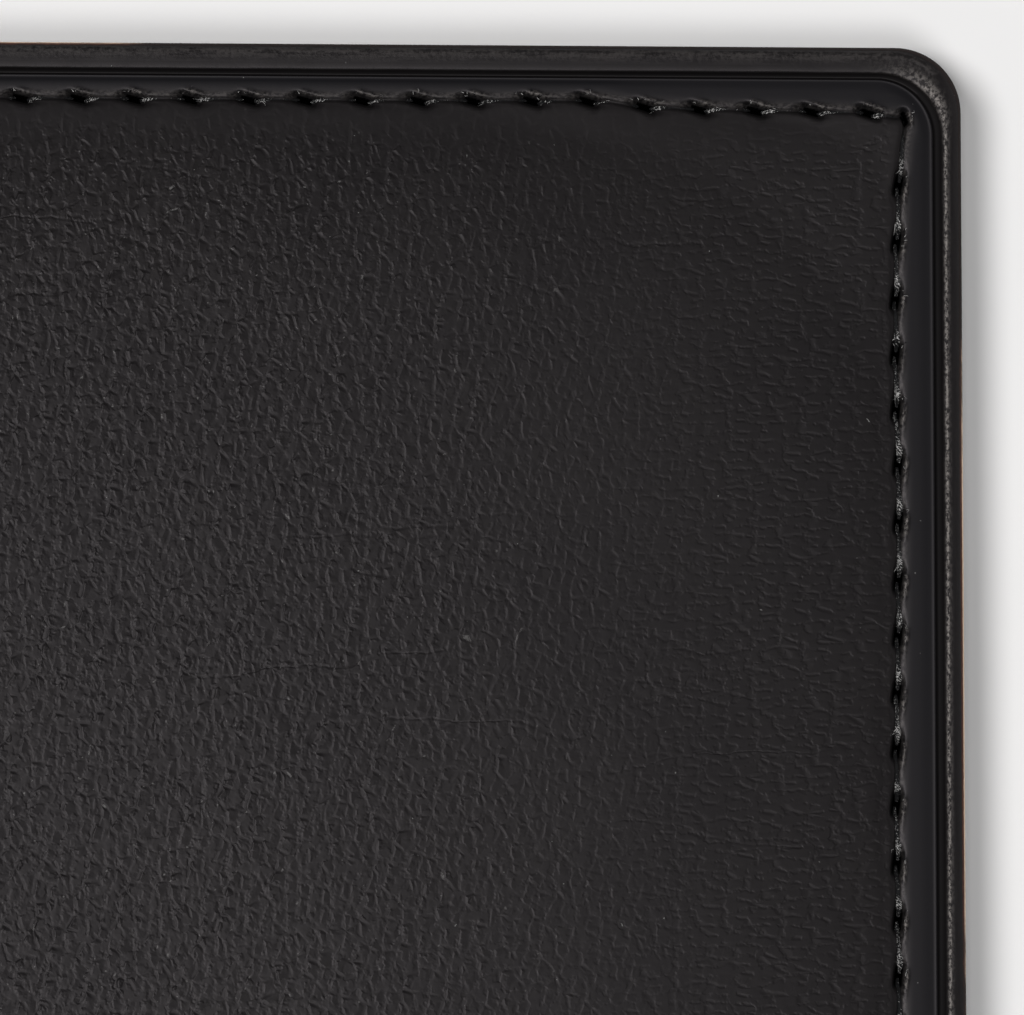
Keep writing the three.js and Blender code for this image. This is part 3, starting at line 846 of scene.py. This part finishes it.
def threadFinish():
    finish, shader = startFinish("blackThread")
    look = threadLook
    along, angle, glintLevel = split(readField("strandPlace"))
    spot = joinXY(along, angle)
    fibre = noise(stretch(spot, (3.0, 5.0, 1.0), 0.5), 1.0, 3.0, 0.6)
    fleck = noise(stretch(spot, (9.0, 4.0, 1.0), 0.4), 1.0, 2.0, 0.6)
    # painted glints: pale flecks on the thread, most where it leaves a pit and on the hairs
    glintShare = ramp(plus(fleck, mult(glintLevel, 0.2)), 0.72, 0.78)
    setSockets(shader.inputs, {
        "Base Color": mixColour(glintShare, look["dark"], look["glint"]),
        "Roughness": ramp(fibre, 0.2, 0.8, look["rough"] - 0.08, look["rough"] + 0.25),
        "Specular IOR Level": look["specular"],
    })
    setBump(shader, mult(fibre, 0.09))
    return finish


# a strand from where it leaves one pit: share of the way, height, step towards the field, width
outerStrand = np.array([
    (0.06, -0.95, 0.10, 0.70), (0.13, -0.82, 0.11, 0.80), (0.19, -0.56, 0.11, 0.95),
    (0.25, -0.31, 0.10, 1.05), (0.32, -0.22, 0.07, 0.95), (0.42, -0.24, 0.03, 0.85),
    (0.55, -0.26, 0.0, 0.8), (0.69, -0.31, -0.03, 0.75), (0.77, -0.45, -0.05, 0.75),
    (0.84, -0.64, -0.06, 0.75), (0.90, -0.82, -0.06, 0.70), (0.95, -0.95, -0.06, 0.65),
])
innerStrand = np.array([
    (0.0, -1.25, 0.0, 0.8), (0.05, -1.42, 0.0, 0.95), (0.14, -1.54, 0.02, 1.05), (0.32, -1.59, 0.03, 1.1),
    (0.5, -1.6, 0.0, 1.1), (0.68, -1.59, -0.03, 1.1), (0.86, -1.54, -0.02, 1.05), (0.95, -1.42, 0.0, 0.95),
    (1.0, -1.25, 0.0, 0.8),
])


# a smooth curve through a strand's points
def throughPoints(profile, count):
    walk = np.linspace(profile[0, 0], profile[-1, 0], count)
    slope = np.gradient(profile[:, 1:], profile[:, 0], axis=0)
    spot = np.clip(np.searchsorted(profile[:, 0], walk) - 1, 0, len(profile) - 2)
    wide = (profile[spot + 1, 0] - profile[spot, 0])[:, None]
    t = (walk - profile[spot, 0])[:, None] / wide
    curve = (2 * t**3 - 3 * t**2 + 1) * profile[spot, 1:] + (t**3 - 2 * t**2 + t) * slope[spot] * wide
    curve = curve + (3 * t**2 - 2 * t**3) * profile[spot + 1, 1:]
    return walk, curve + (t**3 - t**2) * slope[spot + 1] * wide


# a stitch's length, whether it stands upright as up the fore edge, and what lays its points along the seam
def stitchRun(spots, k):
    start, end = spots[k + 1], spots[k]
    chord = np.linalg.norm(end - start)
    run = (end - start) / chord
    inward = np.array([run[1], -run[0]])

    def lay(tube):
        return np.moveaxis(start + tube[..., :1] * run + tube[..., 1:2] * inward, -1, 0)

    return chord, abs(run[1]) > abs(run[0]), lay


def buildStitches(
    name, spots, profile, place, flip, seed, sections=26, sides=12, size=1.0, lift=0.0, hairs=0, ways=evenWays
):
    rng = np.random.default_rng(seed)
    look = threadLook
    walk, shape = throughPoints(profile, sections)
    points, faces, fields = [], [], []
    ring = np.arange(sides) * tau / sides
    for k in range(len(spots) - 1):
        chord, upright, lay = stitchRun(spots, k)
        share = 1 - walk[::-1] if upright else walk   # upright strands lie the other way round
        form = shape[::-1] * (1, -1, 1) if upright else shape
        wider, higher, moreGlint = ways[int(upright)]
        sideways = size * form[:, 1] * rng.uniform(0.7, 1.3)
        height = form[:, 0] + rng.uniform(-0.03, 0.02)
        height = lift + size * height + higher * smooth(-0.5, -0.3, height)
        path = np.stack([share * chord, sideways, height], -1)
        tangent = unit(np.gradient(path, axis=0))
        across = unit(np.cross(np.array([0, 0, 1.0]), tangent))
        rise = np.cross(tangent, across)
        turn = rng.uniform(0, tau) + tau * path[:, 0] / (look["lay"] * size)
        lobe = np.abs(np.cos(look["plies"] / 2 * (ring[None] - turn[:, None])))
        radius = wider * size * look["radius"] * form[:, 2, None] * (0.76 + 0.3 * lobe)
        circle = np.cos(ring)[None, :, None] * across[:, None] + np.sin(ring)[None, :, None] * rise[:, None]
        tube = path[:, None] + radius[..., None] * circle
        faces += gridFaces(sections, sides, k * sections * sides, closed=True)
        points.append(place(*lay(tube), tube[..., 2]).reshape(-1, 3))
        exitGlint = hump(share, 0.7 if upright else 0.27, 0.1)   # painted glints: most where it leaves the pit
        glintLevel = np.minimum(moreGlint + rng.uniform(-0.2, 0.4) + exitGlint * rng.uniform(0.6, 1.2), 1.0)
        along = np.broadcast_to((path[:, 0] + 7.3 * k)[:, None], lobe.shape)
        twist = 0.5 * (ring[None] - turn[:, None])
        fields.append(np.stack([along, twist, np.broadcast_to(glintLevel[:, None], lobe.shape)], -1).reshape(-1, 3))
    if hairs:
        first = sum(len(p) for p in points)
        for k in range((len(spots) - 1) * hairs):
            chord, upright, lay = stitchRun(spots, k // hairs)
            root = np.array([rng.normal(1.0, 0.2), rng.normal(0.0, 0.13), rng.uniform(-0.3, -0.1)])
            aim = rng.normal(0, 1, 3) * (0.3, 0.2, 0.1) + (0.05, 0.0, 0.08)
            if k % 3 == 0:   # torn fibres of the leather on the pit's outer lip
                root = np.array([rng.normal(-0.3, 0.3), rng.normal(-0.45, 0.05), 0.03])
                aim = rng.normal(0, 1, 3) * (0.12, 0.1, 0.04) + (0.05, -0.12, 0.05)
            elif upright:
                root[0], aim[0] = chord - root[0], -aim[0]
            sag = rng.normal(0, 0.07, 3)
            step = np.linspace(0, 1, hairSteps)[:, None]
            path = root + aim * step + sag * (step * (1 - step)) * 4
            wide = rng.uniform(*look["hairWide"]) * (1.1 - step)
            tube = path[:, None] + wide[:, None] * hairShape
            count = tube[..., 0].size
            points.append(place(*lay(tube), lift + size * tube[..., 2]).reshape(-1, 3))
            faces += gridFaces(*tube.shape[:2], first + count * k, closed=True)
            # each hair's level of painted glint
            fields.append(np.tile([k * 1.7, 0.0, rng.uniform(0.2, 2.2)], (count, 1)))
    fields = {"strandPlace": np.concatenate(fields)}
    return makePiece(name, np.concatenate(points), faces, strandFinish, fields, not flip)


strandFinish = threadFinish()
seamKind = {"hairs": threadLook["hairs"], "ways": threadLook["ways"]}
frontThread = buildStitches("front_stitches", frontHoles[0], outerStrand, frontPlace, False, 21, **seamKind)
backThread = buildStitches("back_stitches", backHoles[0], outerStrand, backPlace, True, 22, **seamKind)
frontInner = buildStitches("front_inner_stitches", frontHoles[0], innerStrand, frontPlace, False, 23, 16, 10)
backInner = buildStitches("back_inner_stitches", backHoles[0], innerStrand, backPlace, True, 24, 16, 10)
print("stitches:", len(frontHoles[0]) - 1, "round each panel")

# lining
liningLook = {
    "dark": rgb(0.010, 0.0098, 0.0102),
    "light": rgb(0.030, 0.029, 0.029),
    "yarn": 0.42,        # from one yarn to the next
    "specular": 0.2,
}
liningRows = [
    (3.0, liningOut), (0.10, liningOut), (0.04, -1.16), (0.04, -1.42), (0.09, -1.48), (0.22, liningIn),
    (1.2, liningIn), (2.6, liningIn), (3.5, -1.495), (3.85, -1.46), (4.05, -1.41), (4.2, -1.39),
    (4.35, -1.41), (4.55, -1.46), (4.9, -1.495), (5.5, liningIn), (6.2, liningIn),
]


def liningFinish():
    finish, shader = startFinish("twillLining")
    look = liningLook
    place = readField("flatPlace")
    x, y, _ = split(place)
    wave = tau / look["yarn"]
    rib = calc("SINE", mult(plus(x, y), wave / 2))
    weft = calc("SINE", mult(x, wave * 1.4))
    fuzz = useGroup(mattedFibres, {"Place": place, "Length": 0.5})
    high = plus(mult(rib, 0.5), mult(weft, 0.25), mult(fuzz["Shade"], 0.5))
    setSockets(shader.inputs, {
        "Base Color": mixColour(ramp(high, -0.5, 1.0), look["dark"], look["light"]),
        "Roughness": ramp(fuzz["Shade"], 0.3, 0.8, 0.7, 0.95),
        "Specular IOR Level": look["specular"],
    })
    heights = mult(rib, 0.03), mult(weft, 0.012), mult(fuzz["Height"], 0.4)
    setBump(shader, plus(*heights))
    return finish


def buildLining(side, holes, place, flip):
    rho, heights = np.array(liningRows).T
    gridS = acrossSheet(np.linspace(flatFrom, foreX - fieldEdge, 40))
    gridY = np.linspace(fieldEdge - headY, headY - fieldEdge, 60)
    rim, field, faces = rimmedSheet(side, rho, holes, plainPattern, gridS, gridY)
    rise = np.repeat(heights[:, None], rim.shape[1], 1)
    s, y = np.concatenate([rim.reshape(-1, 2), field.reshape(-1, 2)]).T
    h = np.append(rise.ravel(), np.full(field[..., 0].size, liningIn))
    fields = {"flatPlace": sheetPlace(side, s, y)}
    return makePiece(side + "_lining_cloth", place(s, y, h), faces, clothFinish, fields, not flip)


clothFinish = liningFinish()
frontLining = buildLining("front", frontHoles, frontPlace, False)
backLining = buildLining("back", backHoles, backPlace, True)
print("linings:", len(frontLining.data.polygons), "faces each")

# pockets on the inner faces
pocketLook = dict(
    leatherLook,
    cell=0.6,
    rough=0.6,
    field=rgb(0.0075, 0.0070, 0.0070),
    fieldLight=rgb(0.0100, 0.0092, 0.0090),
    radius=4.0,        # of the corners
    innerRadius=0.4,   # of the rows at the seam
    seam=2.5,          # from the cut edge to the stitches
    stitch=3.0,
    pits=0.72,         # size of pits and strands beside those of the panels
    strands=0.68,
    # painted shade in the pocket's crease
    creaseShade=0.6,
)
pocketFan = 9
onBack = {"body": "back_cover", "place": backPagePlace, "flip": False}
onFront = {"body": "front_cover", "place": frontPagePlace, "flip": True}
pocketSpecs = {
    "pad_pocket": {**onBack, "slant": 0.0, "seed": 61},
    "document_pocket": {**onFront, "slant": 26.0, "seed": 62},
    "card_pocket": {**onFront, "slant": 0.0, "seed": 63},
}
pocketRows = [
    (1.8, 0.0), (0.06, 0.0), (0.0, -0.5), (0.0, -0.22), (0.05, -0.10), (0.14, -0.03), (0.3, 0.0),
    (1.12, 0.0), (1.22, -0.03), (1.30, -0.10), (1.37, -0.13), (1.44, -0.10), (1.52, -0.03), (1.62, 0.0),
    (1.85, 0.0),
]
pocketSeamRows = [1.95, 2.05, 2.14, 2.22, 2.3, 2.37, 2.43, 2.5, 2.57, 2.63, 2.7, 2.78, 2.86, 2.95, 3.08, 3.4]


def insetCorners(corners, inset):
    count = len(corners)
    moved = []
    for i in range(count):
        a = unit(corners[i] - corners[i - 1])
        b = unit(corners[(i + 1) % count] - corners[i])
        inward = np.array([-a[1] - b[1], a[0] + b[0]])
        moved.append(corners[i] + inset * inward / (1 + a @ b))
    return np.array(moved)


# one closed row of a pocket; sides holds the shares along each side where its columns stand
def pocketLine(corners, inset, radius, sides):
    points, away = insetCorners(corners, inset), []
    for i in range(len(points)):
        a, b = unit(points[i - 1] - points[i]), unit(points[(i + 1) % len(points)] - points[i])
        half = math.acos(np.clip(a @ b, -1, 1)) / 2
        middle = unit(a + b)
        centre = points[i] + middle * radius / math.sin(half)
        back = math.atan2(-middle[1], -middle[0])
        turn = np.linspace(half - math.pi / 2, math.pi / 2 - half, pocketFan)
        away.append(centre + radius * np.stack([np.cos(back + turn), np.sin(back + turn)], -1))
    line = []
    for i, share in enumerate(sides):
        start, end = away[i][-1], away[(i + 1) % len(points)][0]
        line += [away[i], start + share[:, None] * (end - start)]
    return np.concatenate(line)


def buildPocket(name, spec, finish):
    low, high = (np.array(v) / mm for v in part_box(name))
    thick = high[2] - low[2]
    lift = low[2] - backPageZ if not spec["flip"] else frontPageZ - high[2]
    mouth = high[1] - spec["slant"]
    corners = np.array([(low[0], low[1]), (high[0], low[1]), (high[0], high[1]), (low[0], mouth)])
    look = pocketLook
    seam, bendIn = look["seam"], look["innerRadius"]
    line = insetCorners(corners, seam)
    spots, sides = [], []
    for i in (3, 0, 1):
        start, end = line[i], line[(i + 1) % 4]
        count = round(np.linalg.norm(end - start) / look["stitch"])
        spots += [start + (end - start) * k / count for k in range(count + (i == 1))]
    spots = np.array(spots)
    for i in range(4):
        length = np.linalg.norm(line[(i + 1) % 4] - line[i])
        count = round(length / look["stitch"])
        walk = (np.arange(count)[:, None] + pocketPattern).ravel() * length / count
        share = (walk - bendIn) / (length - 2 * bendIn)
        sides.append(share[(share > 0.002) & (share < 0.998)] if i != 2 else np.linspace(0.02, 0.98, 40))
    insets, heights = np.array(pocketRows).T
    rho = np.append(insets, pocketSeamRows)
    radii = np.maximum(look["radius"] - 1.45 * rho, bendIn)
    rows = np.array([pocketLine(corners, r, radius, sides) for r, radius in zip(rho, radii)])
    rise = np.zeros(rows.shape[:2])
    rise[: len(pocketRows)] = heights[:, None]
    rise[:2] = -thick
    top = len(pocketRows)
    off = np.repeat(rho[top:, None] - seam, rows.shape[1], 1)
    relief, pits, _ = seamRelief(rows[top:], off, spots, look["pits"])
    sewn = np.repeat([1.0, 1.0, 0.0, 1.0], [pocketFan + len(s) for s in sides])   # all but the mouth
    toMouth = np.interp(rows[-1][:, 0], [low[0], high[0]], [mouth, high[1]]) - rows[-1][:, 1]
    sewn = np.minimum(sewn, smooth(1.6, 2.6, toMouth))[None]
    rise[top:] += np.maximum(relief, 0.1 - thick) * sewn
    # painted shade: black in the pits and the crease
    paintedShade = np.zeros(rise.shape)
    paintedShade[top:] = pits * sewn
    paintedShade = np.maximum(paintedShade, look["creaseShade"] * between(rho, 1.26, 1.34, 1.42, 1.5)[:, None])
    count = rows.shape[1]
    faces = gridFaces(len(rho), count, closed=True) + [list(range((len(rho) - 1) * count, len(rho) * count))]
    x, y = rows.reshape(-1, 2).T
    inset = np.repeat(np.where(rho < 0.3, rho, 9.0), count)
    calm = np.zeros_like(x)
    fields = {
        "flatPlace": np.stack([x + 300 + 5 * spec["seed"], y, calm], -1),
        "rimPlace": np.stack([x + y, inset, calm - 0.3], -1),
        "skinMask": np.stack([calm + 0.6, calm, calm], -1),
        "rimMask": np.stack([paintedShade.ravel(), calm, calm], -1),
    }
    points = spec["place"](x, y, lift + thick + rise.ravel())
    piece = makePiece(name + "_sheet", points, faces, finish, fields, spec["flip"])
    facts = {"sections": 18, "sides": 10, "size": look["strands"], "lift": lift + thick}
    sewing = (spots, outerStrand, spec["place"], spec["flip"], spec["seed"])
    strands = buildStitches(name + "_stitches", *sewing, **facts)
    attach(piece, spec["body"])
    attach(strands, spec["body"])
    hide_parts(name)
    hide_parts(name + "_thread")
    wide, tall = (high - low)[:2] * mm
    share = 1 - 0.5 * spec["slant"] * mm / tall
    return piece


pocketFinish = leatherFinish("pocketLeather", pocketLook)
for pocketName, pocketSpec in pocketSpecs.items():
    buildPocket(pocketName, pocketSpec, pocketFinish)
print("pockets:", ", ".join(pocketSpecs))

# boards and felts stay as the frame has them, with their own finish
fillLook = {   # dark, light and the fibres' length
    "board": (rgb(0.20, 0.17, 0.135), rgb(0.34, 0.30, 0.25), 1.4),
    "felt": (rgb(0.035, 0.035, 0.037), rgb(0.10, 0.10, 0.105), 0.7),
}


def fillFinish(name):
    dark, light, length = fillLook[name]
    finish, shader = startFinish(name + "Fibre")
    place = stretch(addNode("ShaderNodeTexCoord").outputs["Object"], (1 / mm,) * 3)
    fuzz = useGroup(mattedFibres, {"Place": place, "Length": length})
    setSockets(shader.inputs, {
        "Base Color": mixColour(ramp(fuzz["Shade"], 0.35, 0.75), dark, light),
        "Roughness": ramp(fuzz["Shade"], 0.3, 0.8, 0.8, 0.98),
    })
    setBump(shader, fuzz["Height"])
    return finish


for fill in fillLook:
    fillMade = fillFinish(fill)
    for side in ("front", "back"):
        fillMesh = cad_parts[side + "_" + fill].data
        fillMesh.materials.clear()
        fillMesh.materials.append(fillMade)
print("inside: boards and felts")

# bake the new sheets in place and hide the CAD parts they stand in for
for piece in (frontSkin, frontThread, frontInner, frontLining):
    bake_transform(piece)
for piece in (backSkin, backThread, backInner, backLining):
    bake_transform(piece)
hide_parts("front_leather")
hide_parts("back_leather", "spine_leather")
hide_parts("front_seam_thread", "spine_head_thread", "spine_tail_thread")
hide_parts("back_seam_thread")
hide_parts("front_lining")
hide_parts("back_lining", "spine_lining")

# floor, light and camera
stage = {
    "floor": rgb(0.80, 0.79, 0.785),
    "floorLight": rgb(0.81, 0.80, 0.795),
    "room": rgb(0.95, 0.97, 1.0),
    "roomLevel": 0.10,
    "horizon": rgb(0.84, 0.832, 0.828),
    # level, degrees across as seen from the cover, side it stands on, degrees from straight above
    "lamps": {
        "leftSoftbox": (2.06, 20, (-1.0, -0.04), 24),
        "frontSoftbox": (1.06, 17, (-0.1, -1.0), 22),
        "rightFill": (0.36, 40, (1.0, 0.35), 60),
    },
    "aim": (52.707, 86.744, 6.8),
    "far": 420.0,
    "tilt": (0.0865, -0.0427),
    "pixelsPerMm": 15.0,
    "imageWide": 1024,
    "sensor": 36.0,
    "floorReach": 12.0,   # metres
    "floorRough": 0.9,
    "floorSpecular": 0.1,
}


def addLamp(name, level, wide, source, lean):
    lamp = bpy.data.lights.new(name, "SUN")
    lamp.energy, lamp.angle = level, math.radians(wide)
    lampObject = bpy.data.objects.new(name, lamp)
    side = Vector(source).normalized() * math.tan(math.radians(lean))
    out = Vector((side.x, side.y, 1.0))
    lampObject.rotation_euler = out.to_track_quat("Z", "Y").to_euler()
    bpy.context.collection.objects.link(lampObject)


def buildStage():
    finish, shader = startFinish("paleFloor")
    place = addNode("ShaderNodeTexCoord").outputs["Object"]
    grey = ramp(noise(place, 60.0, 4.0, flat="3D"), 0.3, 0.7)
    setSockets(shader.inputs, {
        "Base Color": mixColour(grey, stage["floor"], stage["floorLight"]),
        "Roughness": stage["floorRough"],
        "Specular IOR Level": stage["floorSpecular"],
    })
    wide = stage["floorReach"]
    corners = [(-wide, -wide, 0), (wide, -wide, 0), (wide, wide, 0), (-wide, wide, 0)]
    mesh = bpy.data.meshes.new("floor")
    mesh.from_pydata(corners, [], [(0, 1, 2, 3)])
    mesh.materials.append(finish)
    floor = bpy.data.objects.new("floor", mesh)
    bpy.context.collection.objects.link(floor)

    world = bpy.data.worlds.new("softRoom")
    bpy.context.scene.world = world
    world.use_nodes = True
    bench["tree"] = world.node_tree
    world.node_tree.nodes.clear()
    up = split(addNode("ShaderNodeTexCoord").outputs["Generated"])[2]
    dim = rgb(*(c * stage["roomLevel"] for c in stage["room"][:3]))
    sky = mixColour(ramp(up, 0.06, 0.16), stage["horizon"], dim)
    light = addNode("ShaderNodeBackground", {"Color": sky})
    addNode("ShaderNodeOutputWorld", {"Surface": light.outputs[0]})

    for name, facts in stage["lamps"].items():
        addLamp(name, *facts)

    camera = bpy.data.cameras.new("camera")
    camera.sensor_fit, camera.sensor_width = "HORIZONTAL", stage["sensor"]
    camera.lens = stage["sensor"] * stage["far"] * stage["pixelsPerMm"] / stage["imageWide"]
    camera.clip_start, camera.clip_end = 0.01, 50.0
    cameraObject = bpy.data.objects.new("camera", camera)
    turn = Matrix.Rotation(stage["tilt"][1], 4, "Y") @ Matrix.Rotation(stage["tilt"][0], 4, "X")
    aim = Matrix.Translation(Vector(stage["aim"]) * mm)
    cameraObject.matrix_world = aim @ turn @ Matrix.Translation((0, 0, stage["far"] * mm))
    bpy.context.collection.objects.link(cameraObject)
    bpy.context.scene.camera = cameraObject
    bpy.context.scene.view_settings.view_transform = "Standard"


buildStage()
print("stage: floor, lamps, camera")
